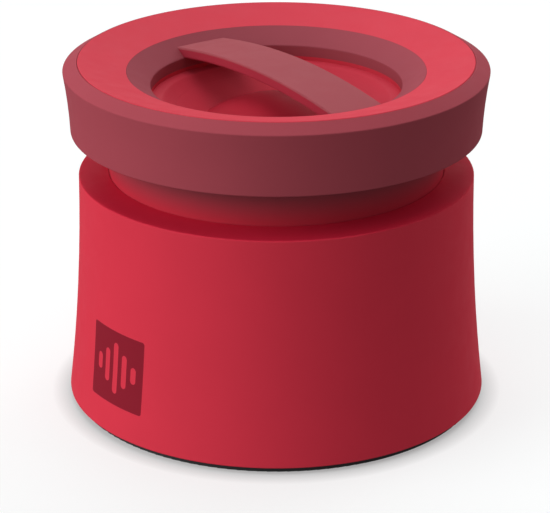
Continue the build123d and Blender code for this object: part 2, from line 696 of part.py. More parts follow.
with BuildPart() as inner_ring:
    with BuildSketch(Plane.XZ) as ring_section:
        Polygon(
            (FUNNEL_INNER_R - 0.03, FUNNEL_INNER_Z),
            (THROAT_R, THROAT_TOP_Z),
            (THROAT_R, RING_FOOT_Z),
            (SKIRT_IN_R, RING_FOOT_Z),
            (SKIRT_IN_R, WEB_TOP_Z),
            (SKIRT_OUT_R, WEB_TOP_Z),
            (SKIRT_OUT_R, RING_FLANGE_Z),
            (FUNNEL_INNER_R - 0.03, RING_FLANGE_Z),
            align=None,
        )
        fillet(ring_section.vertices().sort_by_distance((THROAT_R, THROAT_TOP_Z))[:1], EDGE_ROUND)
    revolve(axis=Axis.Z)
    with Locations((0, 0, WEB_TOP_Z)):
        with PolarLocations(CAP_SCREW_R, CORNER_COUNT, CORNER_ANGLE):
            Cylinder(HEAD_POCKET_R, HEAD_POCKET_H, align=ON_TOP, mode=Mode.SUBTRACT)
        with PolarLocations(RING_SCREW_R, CORNER_COUNT):
            Cylinder(SCREW_R, RING_SCREW_LENGTH - 1.4, align=ON_TOP, mode=Mode.SUBTRACT)
    add(strap_core.part, mode=Mode.SUBTRACT)
    add(carry_strap.part, mode=Mode.SUBTRACT)

with BuildPart() as funnel_ring:
    with BuildSketch(Plane.XZ) as funnel_section:
        Polygon(
            (CAP_TOP_R - 0.05, CAP_TOP_Z),
            (FUNNEL_INNER_R, FUNNEL_INNER_Z),
            (FUNNEL_INNER_R, RING_FLANGE_Z),
            (SKIRT_OUT_R, RING_FLANGE_Z),
            (CAP_WALL_R - 0.6, LEDGE_Z),
            (CAP_TOP_R - 0.05, LEDGE_Z),
            align=None,
        )
        fillet(funnel_section.vertices().sort_by_distance((CAP_TOP_R, CAP_TOP_Z))[:1], EDGE_ROUND / 2)
    revolve(axis=Axis.Z)

with BuildPart() as ring_screws:
    with Locations(Location((0, 0, WEB_UNDER_Z), (180, 0, 0))):
        with PolarLocations(RING_SCREW_R, CORNER_COUNT):
            add(pan_screw(RING_SCREW_LENGTH))

with BuildPart() as cap_screws:
    with Locations((0, 0, WEB_TOP_Z)):
        with PolarLocations(CAP_SCREW_R, CORNER_COUNT, CORNER_ANGLE):
            add(pan_screw(CAP_SCREW_LENGTH))

# ---- sliding neck -----------------------------------------------------------------------------

with BuildPart() as neck_sleeve:
    with BuildSketch(Plane.XZ):
        Polygon(
            (NECK_BORE_R, FLANGE_BOTTOM_Z),
            (NECK_FLANGE_R, FLANGE_BOTTOM_Z),
            (NECK_FLANGE_R, SEAL_Z - SEAL_T),
            (SEAL_R - SEAL_T, SEAL_Z - SEAL_T),
            (SEAL_R - SEAL_T, SEAL_Z + SEAL_T),
            (NECK_FLANGE_R, SEAL_Z + SEAL_T),
            (NECK_FLANGE_R, FLANGE_TOP_Z),
            (NECK_R, FLANGE_TOP_Z),
            (NECK_R, WEB_UNDER_Z),
            (NECK_BORE_R, WEB_UNDER_Z),
            align=None,
        )
    revolve(axis=Axis.Z)
    with BuildSketch(Plane.XY.offset(LEG_BOTTOM_Z)):
        with PolarLocations((LEG_IN_R + LEG_OUT_R) / 2, LEG_COUNT, LEG_ANGLE):
            Rectangle(LEG_OUT_R - LEG_IN_R, LEG_WIDTH)
    extrude(amount=FLANGE_BOTTOM_Z + RIB_OVERLAP - LEG_BOTTOM_Z)
    neck_rib_length = NECK_BORE_R + RIB_OVERLAP - CAP_SCREW_R
    with BuildSketch(Plane.XY.offset(NECK_BOSS_Z)):
        with PolarLocations(CAP_SCREW_R, CORNER_COUNT, CORNER_ANGLE):
            Circle(NECK_BOSS_R)
        with PolarLocations(CAP_SCREW_R + neck_rib_length / 2, CORNER_COUNT, CORNER_ANGLE):
            Rectangle(neck_rib_length, 2 * NECK_BOSS_R)
    extrude(amount=WEB_UNDER_Z - NECK_BOSS_Z)
    with Locations((0, 0, WEB_UNDER_Z)):
        with PolarLocations(CAP_SCREW_R, CORNER_COUNT, CORNER_ANGLE):
            Cylinder(SCREW_R, CAP_SCREW_LENGTH - 1, align=HANGING, mode=Mode.SUBTRACT)

with BuildPart() as sleeve_seal:
    with Locations((0, 0, SEAL_Z)):
        Torus(SEAL_R, SEAL_T)

# ---- driver --------------------------------------------------------------------------------------

with BuildPart() as driver_gasket:
    with BuildSketch(Plane.XY.offset(SURROUND_RIM_Z)):
        Circle(DRIVER_FLANGE_R)
        Circle(THROAT_R, mode=Mode.SUBTRACT)
    extrude(amount=RING_FOOT_Z - SURROUND_RIM_Z)

BASKET_WALL_R = 17.8
STEP_OUT_R = 15.9
STEP_IN_R = 14.0
COIL_HOLE_R = 11.2
WINDOW_Z = 43.0
WINDOW_WIDTH = 9.0
WINDOW_H = 4.0
WINDOW_ROUND = 1.2

with BuildPart() as driver_basket:
    with BuildSketch(Plane.XZ):
        Polygon(
            (DRIVER_FLANGE_R, SEAT_Z),
            (SEAT_BORE_R - 0.1, SEAT_Z),
            (STEP_OUT_R, STEP_Z - 0.8),
            (STEP_IN_R + 0.8, STEP_Z - 0.8),
            (STEP_IN_R + 0.2, FLOOR_Z),
            (COIL_HOLE_R, FLOOR_Z),
            (COIL_HOLE_R, FLOOR_TOP_Z),
            (STEP_IN_R - 0.4, FLOOR_TOP_Z),
            (STEP_IN_R, STEP_Z),
            (STEP_OUT_R - 0.7, STEP_Z),
            (BASKET_WALL_R, BASKET_TOP_Z),
            (DRIVER_FLANGE_R, BASKET_TOP_Z),
            align=None,
        )
    revolve(axis=Axis.Z)
    for window_angle in (0, 90, 180, 270):
        with BuildSketch(side_plane(window_angle + CORNER_ANGLE, WINDOW_Z, STEP_IN_R)):
            RectangleRounded(WINDOW_WIDTH, WINDOW_H, WINDOW_ROUND)
        extrude(amount=SEAT_BORE_R - STEP_IN_R, mode=Mode.SUBTRACT)

ROLL_RISE = -0.06
ROLL_T = 0.3
ROLL_DROP = 0.1
CREASE_WIDTH = 0.2
CONE_T = 0.6
GLUE_WIDTH = 0.8
GLUE_GAP = 0.02
roll_out = (SURROUND_RIM_R - CREASE_WIDTH, SURROUND_RIM_Z - ROLL_DROP)
roll_in = (CONE_RIM_R + GLUE_GAP, CONE_RIM_Z)
roll_mid = ((roll_out[0] + roll_in[0]) / 2, (roll_out[1] + roll_in[1]) / 2 + ROLL_RISE)
lip_z = CONE_RIM_Z - CONE_T - GLUE_GAP
lip_end = (CONE_RIM_R - GLUE_WIDTH, lip_z - GLUE_WIDTH * CONE_SLOPE)

# A low skin that carries on the slope of the cone, glued under the rim of the cone
with BuildPart() as surround:
    with BuildSketch(Plane.XZ):
        with BuildLine():
            over = ThreePointArc(roll_out, roll_mid, roll_in)
            under = ThreePointArc(
                (roll_in[0] + ROLL_T, lip_z),
                (roll_mid[0], roll_mid[1] - ROLL_T),
                (roll_out[0] - ROLL_T, BASKET_TOP_Z),
            )
            Polyline(
                over @ 1,
                (roll_in[0], lip_z),
                lip_end,
                (lip_end[0], lip_end[1] - ROLL_T),
                under @ 0,
            )
            Polyline(
                under @ 1,
                (DRIVER_FLANGE_R, BASKET_TOP_Z),
                (DRIVER_FLANGE_R, SURROUND_RIM_Z),
                (SURROUND_RIM_R, SURROUND_RIM_Z),
                over @ 0,
            )
        make_face()
    revolve(axis=Axis.Z)

with BuildPart() as cone:
    with BuildSketch(Plane.XZ):
        Polygon(
            (COIL_R, CONE_FOOT_Z - CONE_T),
            (COIL_R, CONE_FOOT_Z),
            (CONE_RIM_R, CONE_RIM_Z),
            (CONE_RIM_R, CONE_RIM_Z - CONE_T),
            align=None,
        )
    revolve(axis=Axis.Z)

FORMER_T = 0.2
WINDING_T = 0.3
WINDING_H = 2.7
FORMER_Z = 35.9

with BuildPart() as dust_cap:
    dome_rise = DOME_APEX_Z - DOME_BASE_Z
    dome_r = (DOME_R**2 + dome_rise**2) / (2 * dome_rise)
    dome_centre_z = DOME_APEX_Z - dome_r
    with Locations((0, 0, dome_centre_z)):
        Sphere(dome_r)
        Sphere(dome_r - DOME_T, mode=Mode.SUBTRACT)
    with Locations((0, 0, DOME_BASE_Z)):
        Cylinder(DOME_R, dome_rise, align=ON_TOP, mode=Mode.INTERSECT)

with BuildPart() as coil_former:
    with BuildSketch(Plane.XY.offset(FORMER_Z)):
        Circle(COIL_R)
        Circle(COIL_R - FORMER_T, mode=Mode.SUBTRACT)
    extrude(amount=CONE_FOOT_Z - FORMER_Z)

with BuildPart() as coil_winding:
    with BuildSketch(Plane.XY.offset(FORMER_Z)):
        Circle(COIL_R + WINDING_T)
        Circle(COIL_R, mode=Mode.SUBTRACT)
    extrude(amount=WINDING_H)

SPIDER_T = 0.25
SPIDER_WAVE = 0.45
SPIDER_FOLDS = 6

with BuildPart() as spider:
    fold_pitch = (STEP_IN_R - COIL_R) / SPIDER_FOLDS
    crests = [
        (COIL_R + fold_pitch * fold, STEP_Z + SPIDER_WAVE * (-1) ** fold)
        for fold in range(1, SPIDER_FOLDS)
    ]
    lower = [(COIL_R, STEP_Z), *crests, (STEP_IN_R, STEP_Z), (STEP_OUT_R - 0.8, STEP_Z)]
    upper = [(r, z + SPIDER_T) for r, z in reversed(lower)]
    with BuildSketch(Plane.XZ):
        Polygon(*lower, *upper, align=None)
    revolve(axis=Axis.Z)

with BuildPart() as yoke_cup:
    with Locations((0, 0, YOKE_Z)):
        Cylinder(YOKE_R, FLOOR_Z - YOKE_Z, align=ON_TOP)
    fillet(yoke_cup.edges().group_by(Axis.Z)[0], YOKE_ROUND)
    with Locations((0, 0, YOKE_Z + YOKE_FLOOR_T)):
        Cylinder(YOKE_BORE_R, FLOOR_Z - YOKE_Z, align=ON_TOP, mode=Mode.SUBTRACT)

with BuildPart() as magnet:
    with Locations((0, 0, YOKE_Z + YOKE_FLOOR_T)):
        Cylinder(MAGNET_R, POLE_Z - YOKE_Z - YOKE_FLOOR_T, align=ON_TOP)

with BuildPart() as pole_plate:
    with Locations((0, 0, POLE_Z)):
        Cylinder(POLE_R, FLOOR_Z - POLE_Z, align=ON_TOP)

TAB_X0 = 15.0
TAB_X1 = 19.4
TAB_WIDTH = 5.2
TAB_Z = FLOOR_TOP_Z
LUG_H = 0.6
LUG_R = 0.7

with BuildPart() as terminal_tab:
    with Locations(((TAB_X0 + TAB_X1) / 2, 0, TAB_Z)):
        Box(TAB_X1 - TAB_X0, TAB_WIDTH, STEP_Z - 0.8 - TAB_Z, align=ON_TOP)
    with Locations((LEAD_X, LEAD_GAP / 2, STEP_Z - 0.8), (LEAD_X, -LEAD_GAP / 2, STEP_Z - 0.8)):
        Cylinder(LUG_R, LUG_H, align=ON_TOP)

# The leads hang slack, so the top can drop into the body without pulling them.
LEAD_ROUTE = ((LEAD_X, 0), (LEAD_X, 3.6), (20.6, 8.0), (16.8, 13.0), (LEAD_X, 17.4), (LEAD_X, 20.7))
LEAD_BEND_R = 2.2

with BuildPart() as speaker_leads:
    lead_z = BOARD_TOP_Z + CONNECTOR_H
    for lead_y in (-LEAD_GAP / 2, LEAD_GAP / 2):
        with BuildLine() as speaker_route:
            FilletPolyline(*[(x, lead_y, lead_z + h) for x, h in LEAD_ROUTE], radius=LEAD_BEND_R)
        with BuildSketch(Plane(speaker_route.line @ 0, z_dir=speaker_route.line % 0)):
            Circle(LEAD_R)
        sweep(path=speaker_route.line)

# ---- write one file for each piece ------------------------------------------------------------------

PIECES = {
    "foot_pad": foot_pad,
    "base_plate": base_plate,
    "base_screws": base_screws,
    "lower_shell": lower_shell,
    "front_badge": front_badge,
    "battery_pad": battery_pad,
    "battery_cell": battery_cell,
    "battery_connector": battery_connector,
    "battery_leads": battery_leads,
    "main_board": main_board,
    "board_screws": board_screws,
    "radio_module": radio_module,
    "amplifier_chip": amplifier_chip,
    "board_chips": board_chips,
    "board_capacitors": board_capacitors,
    "speaker_connector": speaker_connector,
    "usb_socket": usb_socket,
    "switch_bodies": switch_bodies,
    "status_led": status_led,
    "light_pipe": light_pipe,
    "microphone": microphone,
    "volume_down_key": volume_down_key,
    "play_key": play_key,
    "volume_up_key": volume_up_key,
    "cap_shell": cap_shell,
    "strap_core": strap_core,
    "carry_strap": carry_strap,
    "inner_ring": inner_ring,
    "funnel_ring": funnel_ring,
    "ring_screws": ring_screws,
    "cap_screws": cap_screws,
    "neck_sleeve": neck_sleeve,
    "sleeve_seal": sleeve_seal,
    "driver_gasket": driver_gasket,
    "driver_basket": driver_basket,
    "surround": surround,
    "cone": cone,
    "dust_cap": dust_cap,
    "coil_former": coil_former,
    "coil_winding": coil_winding,
    "spider": spider,
    "yoke_cup": yoke_cup,
    "magnet": magnet,
    "pole_plate": pole_plate,
    "terminal_tab": terminal_tab,
    "speaker_leads": speaker_leads,
}

os.makedirs("parts", exist_ok=True)
for piece_name, piece in PIECES.items():
    piece.part.label = piece_name
    export_step(piece.part, f"parts/{piece_name}.step")
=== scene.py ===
import math

import bmesh
import bpy
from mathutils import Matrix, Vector


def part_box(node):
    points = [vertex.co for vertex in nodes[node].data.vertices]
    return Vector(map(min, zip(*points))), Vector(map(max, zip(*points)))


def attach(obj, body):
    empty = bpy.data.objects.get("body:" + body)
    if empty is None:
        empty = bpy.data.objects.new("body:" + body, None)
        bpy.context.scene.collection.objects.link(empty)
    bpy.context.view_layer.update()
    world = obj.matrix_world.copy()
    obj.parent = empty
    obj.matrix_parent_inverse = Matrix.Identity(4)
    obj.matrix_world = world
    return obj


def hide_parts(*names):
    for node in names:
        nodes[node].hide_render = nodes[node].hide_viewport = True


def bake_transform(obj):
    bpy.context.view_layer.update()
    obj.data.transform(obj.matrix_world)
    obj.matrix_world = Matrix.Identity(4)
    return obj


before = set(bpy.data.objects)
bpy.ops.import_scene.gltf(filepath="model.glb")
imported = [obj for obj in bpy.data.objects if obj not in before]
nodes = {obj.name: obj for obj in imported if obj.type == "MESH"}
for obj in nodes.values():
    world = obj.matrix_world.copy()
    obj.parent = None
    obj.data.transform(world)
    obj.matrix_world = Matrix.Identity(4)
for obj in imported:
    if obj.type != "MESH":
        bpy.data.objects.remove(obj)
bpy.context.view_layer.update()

MM = 0.001


# ---- camera ---------------------------------------------------------------------------

VIEW_AZIMUTH = 54.5
VIEW_ELEVATION = 21.98
VIEW_DISTANCE = 382.5 * MM
LENS = 162.2
SENSOR_WIDTH = 36
CLIP_START = 10 * MM
AIM_HEIGHT = 21.3 * MM
AIM_LEFT = 0.215 * MM


def direction(azimuth, elevation):
    """Unit vector towards this azimuth and elevation; azimuth 0 is the front, -Y."""
    turn = math.radians(azimuth)
    lift = math.radians(elevation)
    flat = math.cos(lift)
    return Vector((math.sin(turn) * flat, -math.cos(turn) * flat, math.sin(lift)))


def add_camera():
    """Look at the object's axis a little below its middle, from the front right."""
    turn = math.radians(VIEW_AZIMUTH)
    right = Vector((math.cos(turn), math.sin(turn), 0))
    towards = direction(VIEW_AZIMUTH, VIEW_ELEVATION)
    target = Vector((0, 0, AIM_HEIGHT)) - right * AIM_LEFT
    data = bpy.data.cameras.new("camera")
    data.lens = LENS
    data.sensor_width = SENSOR_WIDTH
    data.clip_start = CLIP_START
    data.dof.use_dof = False
    camera = bpy.data.objects.new("camera", data)
    camera.location = target + towards * VIEW_DISTANCE
    camera.rotation_euler = (-towards).to_track_quat("-Z", "Y").to_euler()
    bpy.context.collection.objects.link(camera)
    bpy.context.scene.camera = camera


add_camera()


# ---- light ----------------------------------------------------------------------------

# Soft parallel lights: name, azimuth from the camera (left is negative), elevation,
# strength, and softness as the angle each one fills
LIGHTS = (
    ("key_left", -75, 17, 2.1, 50),
    ("front_left", -45, 25, 0.27, 50),
    ("right_back", 140, 15, 1.18, 40),
    ("back", 180, 45, 0.8, 60),
    ("overhead", 0, 88, 0.82, 45),
)
# Lights that fill shadows without a streak of reflection along the object's edges
FILL_ONLY = ("right_back",)
ROOM_LIGHT = 0.28


def add_lights():
    """Hang the lights round the object, in a room with a dim, even light of its own."""
    for name, azimuth, elevation, strength, softness in LIGHTS:
        data = bpy.data.lights.new(name, "SUN")
        data.energy = strength
        data.angle = math.radians(softness)
        sun = bpy.data.objects.new(name, data)
        towards = direction(VIEW_AZIMUTH + azimuth, elevation)
        sun.rotation_euler = towards.to_track_quat("Z", "Y").to_euler()
        sun.visible_glossy = name not in FILL_ONLY
        bpy.context.collection.objects.link(sun)
    world = bpy.data.worlds.new("room")
    world.use_nodes = True
    background = world.node_tree.nodes["Background"]
    background.inputs["Strength"].default_value = ROOM_LIGHT
    background.inputs["Color"].default_value = (1, 1, 1, 1)
    bpy.context.scene.world = world
    bpy.context.scene.view_settings.view_transform = "Standard"


add_lights()


# ---- materials ------------------------------------------------------------------------

# The part of a pattern's values in which colour and roughness change
MIDDLE = (0.3, 0.7)
# A wave texture at scale 1 has this many bands in pi metres
WAVE_BANDS = 10
# The Mix node's sockets for colour, which share their names with its sockets for numbers
MIX_MASK, MIX_UNDER, MIX_OVER, MIX_RESULT = 0, 6, 7, 2


class Surface:
    """A Principled material with colour, roughness and relief from textures in object space.

    Colours are linear. Pattern sizes and relief depths are real, in metres."""

    def __init__(self, name, **even):
        self.material = bpy.data.materials.new(name)
        self.material.use_nodes = True
        self.tree = self.material.node_tree
        self.shader = self.tree.nodes["Principled BSDF"]
        self.normal = None
        for socket, value in even.items():
            self.shader.inputs[socket.replace("_", " ")].default_value = value

    def node(self, kind, **settings):
        """A new node with these settings."""
        made = self.tree.nodes.new(kind)
        for key, value in settings.items():
            setattr(made, key, value)
        return made

    def place(self, stretch=(1, 1, 1)):
        """Object-space position, stretched along an axis where its number is below 1."""
        spot = self.node("ShaderNodeTexCoord").outputs["Object"]
        if stretch == (1, 1, 1):
            return spot
        mapping = self.node("ShaderNodeMapping")
        mapping.inputs["Scale"].default_value = stretch
        self.tree.links.new(spot, mapping.inputs["Vector"])
        return mapping.outputs["Vector"]

    def noise(self, size, detail=2.0, stretch=(1, 1, 1)):
        """Clouds of about this size."""
        made = self.node("ShaderNodeTexNoise")
        made.inputs["Scale"].default_value = 1 / size
        made.inputs["Detail"].default_value = detail
        self.tree.links.new(self.place(stretch), made.inputs["Vector"])
        return made.outputs["Fac"]

    def cells(self, size, feature="F1"):
        """Irregular cells of about this size."""
        made = self.node("ShaderNodeTexVoronoi", feature=feature)
        made.inputs["Scale"].default_value = 1 / size
        self.tree.links.new(self.place(), made.inputs["Vector"])
        return made.outputs["Distance"]

    def distance(self):
        """Distance from the Z axis."""
        flat = self.node("ShaderNodeVectorMath", operation="MULTIPLY")
        flat.inputs[1].default_value = (1, 1, 0)
        self.tree.links.new(self.place(), flat.inputs[0])
        length = self.node("ShaderNodeVectorMath", operation="LENGTH")
        self.tree.links.new(flat.outputs["Vector"], length.inputs[0])
        return length.outputs["Value"]

    def radius(self):
        """Distance from the Z axis, as a position along X."""
        line = self.node("ShaderNodeCombineXYZ")
        self.tree.links.new(self.distance(), line.inputs["X"])
        return line.outputs["Vector"]

    def waves(self, size, direction="X", spot=None):
        """Even bands this far apart, across object space or this other position."""
        made = self.node("ShaderNodeTexWave", wave_type="BANDS", bands_direction=direction)
        made.inputs["Scale"].default_value = math.pi / (WAVE_BANDS * size)
        self.tree.links.new(spot or self.place(), made.inputs["Vector"])
        return made.outputs["Fac"]

    def slide(self, pattern, span, ends=(0, 1)):
        """The pattern, turned into a value that goes from end to end over this span of it."""
        made = self.node("ShaderNodeMapRange")
        for socket, value in zip(("From Min", "From Max", "To Min", "To Max"), (*span, *ends)):
            made.inputs[socket].default_value = value
        self.tree.links.new(pattern, made.inputs["Value"])
        return made.outputs["Result"]

    def height(self, span):
        """0 below these two heights and 1 above them."""
        parts = self.node("ShaderNodeSeparateXYZ")
        self.tree.links.new(self.place(), parts.inputs["Vector"])
        return self.slide(parts.outputs["Z"], span)

    def layer(self, mask, colour):
        """Lay this colour over the colour already there, where the mask is 1."""
        mix = self.node("ShaderNodeMix", data_type="RGBA")
        under = self.shader.inputs["Base Color"].links[0].from_socket
        self.tree.links.new(mask, mix.inputs[MIX_MASK])
        self.tree.links.new(under, mix.inputs[MIX_UNDER])
        mix.inputs[MIX_OVER].default_value = (*colour, 1)
        self.tree.links.new(mix.outputs[MIX_RESULT], self.shader.inputs["Base Color"])

    def shades(self, pattern, dark, light, span=MIDDLE):
        """Colour from dark to light over this span of the pattern."""
        ramp = self.node("ShaderNodeValToRGB")
        for stop, position, colour in zip(ramp.color_ramp.elements, span, (dark, light)):
            stop.position = position
            stop.color = (*colour, 1)
        self.tree.links.new(pattern, ramp.inputs["Fac"])
        self.tree.links.new(ramp.outputs["Color"], self.shader.inputs["Base Color"])

    def spread(self, socket, pattern, span, ends):
        """Drive a socket by the pattern."""
        self.tree.links.new(self.slide(pattern, span, ends), self.shader.inputs[socket])

    def sheen(self, pattern, smooth, rough):
        """Roughness between these two values."""
        self.spread("Roughness", pattern, MIDDLE, (smooth, rough))

    def relief(self, pattern, depth):
        """Raise the surface by the pattern, on top of any relief it already has."""
        bump = self.node("ShaderNodeBump")
        bump.inputs["Strength"].default_value = 1.0
        bump.inputs["Distance"].default_value = depth
        self.tree.links.new(pattern, bump.inputs["Height"])
        if self.normal:
            self.tree.links.new(self.normal, bump.inputs["Normal"])
        self.normal = bump.outputs["Normal"]
        self.tree.links.new(self.normal, self.shader.inputs["Normal"])


def tint(colour, factor):
    """The colour, lighter or darker by this factor."""
    return tuple(channel * factor for channel in colour)


# How far a moulded colour drifts, either way
DRIFT = 0.015
LINE_SHADE = 0.85


def moulded(name, colour, smooth, rough, specular, grain=0.22 * MM, depth=0.006 * MM):
    """Moulded plastic or rubber: spark-eroded grain, a slow drift in shade and in gloss."""
    made = Surface(name, Specular_IOR_Level=specular)
    drift = made.noise(9 * MM, detail=3)
    made.shades(drift, tint(colour, 1 - DRIFT), tint(colour, 1 + DRIFT))
    made.sheen(made.noise(3 * MM, detail=4), smooth, rough)
    made.relief(made.noise(grain, detail=3), depth)
    return made


def brushed(name, colour, smooth, rough, stretch):
    """Turned or drawn metal with fine lines along one direction."""
    made = Surface(name, Metallic=1.0)
    lines = made.noise(0.12 * MM, detail=4, stretch=stretch)
    made.shades(lines, tint(colour, LINE_SHADE), colour)
    made.sheen(lines, smooth, rough)
    made.relief(lines, 0.002 * MM)
    return made


# Linear colours of the parts that show
BODY_RED = (0.70, 0.038, 0.068)
DRIVER_RED = (0.60, 0.042, 0.070)
# Darker than the cone to stand in for the strap's shadow, which these lights leave too weak
DOME_RED = (0.46, 0.022, 0.042)
# Darker, deeper red of the lip in the gap under the cap: painted shade and red bounce light
LIP_SHADED_RED = (0.58, 0.016, 0.044)
# Red silicone drawn much darker than the body's red: painted shade on the strap's sides and
# underside
STRAP_SHADED_RED = (0.355, 0.030, 0.052)
FUNNEL_RED = (0.64, 0.050, 0.078)
MAROON = (0.375, 0.064, 0.085)
RING_MAROON = (0.325, 0.066, 0.086)
STRAP_MAROON = (0.355, 0.077, 0.093)
BADGE_MAROON = (0.26, 0.012, 0.026)
RUBBER_BLACK = (0.028, 0.028, 0.029)
# Stands in for shade in the gap round the neck, which these lights leave too weak
NECK_SHADE = 0.74
# Chosen for a matte look, and lower than a measured plastic or rubber
SPECULAR = 0.05

# Heights where the shell's lip starts its painted shade, and where the neck fades from red to
# maroon as painted shade under the cap
LIP_SHADE_FROM = (35.5 * MM, 35.75 * MM)
NECK_SHADOW_FADE = (36.6 * MM, 40.4 * MM)

body_red = moulded("body_red_satin", BODY_RED, 0.5, 0.62, SPECULAR)
# The lip under the cap turns a darker, deeper red: painted shade and red bounce light
body_red.layer(body_red.height(LIP_SHADE_FROM), LIP_SHADED_RED)
# The neck darkens and fades to maroon towards the cap: painted shade under the cap's overhang
neck_painted_shade = moulded("neck_red_with_painted_shade", tint(BODY_RED, NECK_SHADE), 0.5, 0.62, SPECULAR)
neck_painted_shade.layer(neck_painted_shade.height(NECK_SHADOW_FADE), tint(MAROON, NECK_SHADE))
ring_maroon = moulded("ring_maroon_soft_touch", RING_MAROON, 0.58, 0.7, SPECULAR,
                      grain=0.18 * MM)
strap_shaded_red = moulded("strap_red_silicone_shaded", STRAP_SHADED_RED, 0.5, 0.62, SPECULAR, grain=0.25 * MM)
ring_red = moulded("ring_red_satin", FUNNEL_RED, 0.48, 0.6, SPECULAR)
cap_maroon = moulded("cap_maroon_soft_touch", MAROON, 0.58, 0.7, SPECULAR, grain=0.18 * MM)
badge_maroon = moulded("badge_maroon", BADGE_MAROON, 0.5, 0.6, SPECULAR)
key_maroon = moulded("key_maroon_rubber", MAROON, 0.6, 0.72, SPECULAR, grain=0.15 * MM)
black_plastic = moulded("black_plastic", (0.02, 0.02, 0.022), 0.4, 0.55, 0.4)
black_rubber = moulded("black_rubber", RUBBER_BLACK, 0.7, 0.85, 0.25,
                       grain=0.3 * MM, depth=0.012 * MM)
connector_white = moulded("connector_nylon", (0.72, 0.70, 0.64), 0.35, 0.5, 0.4)
lead_red = moulded("lead_insulation", (0.45, 0.012, 0.012), 0.35, 0.45, 0.45, grain=0.4 * MM)


def driver_surface(name, colour):
    """Pressed cone and rubber skin: faint turned rings over a fine grain."""
    made = moulded(name, colour, 0.5, 0.6, SPECULAR, grain=0.2 * MM, depth=0.004 * MM)
    made.relief(made.waves(0.5 * MM, spot=made.radius()), 0.003 * MM)
    return made


def strap_surface():
    """Silicone strap skin: slightly cloudier than the cap, with a fine leathery grain."""
    made = moulded("strap_maroon_silicone", STRAP_MAROON, 0.55, 0.68, SPECULAR, grain=0.25 * MM)
    made.relief(made.cells(0.5 * MM), 0.004 * MM)
    return made


def spider_surface():
    """Resin-dipped cloth: crossed threads."""
    made = Surface("spider_cloth", Roughness=0.85, Specular_IOR_Level=0.2)
    threads = made.waves(0.45 * MM)
    made.shades(threads, (0.35, 0.24, 0.10), (0.55, 0.40, 0.20))
    made.relief(threads, 0.05 * MM)
    made.relief(made.waves(0.45 * MM, direction="Y"), 0.05 * MM)
    return made


def board_surface():
    """Solder mask over copper tracks."""
    made = Surface("board_green", Specular_IOR_Level=0.5)
    tracks = made.cells(2.2 * MM, feature="DISTANCE_TO_EDGE")
    made.shades(tracks, (0.02, 0.14, 0.05), (0.008, 0.07, 0.025), span=(0.04, 0.06))
    made.relief(tracks, 0.03 * MM)
    made.sheen(made.noise(2 * MM), 0.25, 0.35)
    return made


def winding_surface():
    """Enamelled copper, one turn beside the next."""
    made = Surface("winding_copper", Metallic=1.0)
    turns = made.waves(0.15 * MM, direction="Z")
    made.shades(turns, (0.35, 0.10, 0.03), (0.80, 0.32, 0.13))
    made.relief(turns, 0.03 * MM)
    made.sheen(made.noise(1 * MM), 0.25, 0.4)
    return made


def film_surface():
    """Amber polyimide film."""
    made = Surface("former_film", Specular_IOR_Level=0.5, Transmission_Weight=0.3)
    made.shades(made.noise(2 * MM), (0.40, 0.13, 0.01), (0.50, 0.18, 0.02))
    made.sheen(made.noise(1 * MM), 0.15, 0.25)
    return made


def foil_surface():
    """Silver battery pouch with shallow creases."""
    made = Surface("battery_foil", Metallic=1.0)
    creases = made.noise(4 * MM, detail=5)
    made.shades(creases, (0.55, 0.56, 0.58), (0.72, 0.73, 0.75))
    made.sheen(creases, 0.25, 0.4)
    made.relief(creases, 0.15 * MM)
    return made


def foam_surface():
    """Open-cell foam tape."""
    made = Surface("foam_tape", Roughness=0.95, Specular_IOR_Level=0.1)
    pores = made.cells(0.4 * MM)
    made.shades(pores, (0.01, 0.01, 0.012), (0.05, 0.05, 0.055))
    made.relief(pores, 0.1 * MM)
    return made


def clear_surface():
    """Frosted acrylic light pipe."""
    made = Surface("clear_plastic", Transmission_Weight=0.7, IOR=1.49)
    made.shades(made.noise(1 * MM), (0.78, 0.80, 0.82), (0.86, 0.88, 0.90))
    made.sheen(made.noise(0.4 * MM), 0.3, 0.45)
    return made


def led_surface():
    """Yellow phosphor under silicone."""
    made = Surface("led_white", Specular_IOR_Level=0.5)
    made.shades(made.noise(0.3 * MM), (0.75, 0.62, 0.20), (0.85, 0.74, 0.30))
    made.sheen(made.noise(0.5 * MM), 0.2, 0.35)
    return made


def capacitor_surface():
    """Bare aluminium can, drawn up its height."""
    made = Surface("capacitor_can", Metallic=0.9)
    made.shades(made.noise(0.3 * MM, stretch=(1, 1, 0.1)), (0.55, 0.56, 0.57), (0.75, 0.76, 0.77))
    made.sheen(made.noise(0.5 * MM), 0.25, 0.4)
    return made


def terminal_surface():
    """Pressed phenolic board with a fibrous edge."""
    made = Surface("terminal_brown", Specular_IOR_Level=0.3)
    fibres = made.noise(0.3 * MM, detail=4, stretch=(1, 0.2, 1))
    made.shades(fibres, (0.10, 0.045, 0.02), (0.17, 0.08, 0.035))
    made.sheen(fibres, 0.5, 0.7)
    made.relief(fibres, 0.02 * MM)
    return made


def ceramic_surface():
    """Sintered magnet, dark and slightly speckled."""
    made = Surface("magnet_grey", Metallic=0.8)
    speckle = made.noise(0.3 * MM, detail=5)
    made.shades(speckle, (0.12, 0.12, 0.125), (0.30, 0.30, 0.31))
    made.sheen(speckle, 0.3, 0.5)
    return made


driver_red = driver_surface("driver_red", DRIVER_RED)
dome_red = driver_surface("dome_red", DOME_RED)
strap_maroon = strap_surface()
screw_steel = brushed("screw_steel", (0.45, 0.45, 0.46), 0.25, 0.45, (1, 1, 0.1))
basket_steel = brushed("basket_steel", (0.30, 0.30, 0.31), 0.35, 0.55, (1, 1, 0.15))
socket_steel = brushed("socket_steel", (0.62, 0.61, 0.59), 0.22, 0.38, (1, 0.08, 1))
contact_gold = brushed("contact_gold", (0.80, 0.55, 0.20), 0.2, 0.3, (1, 0.1, 1))

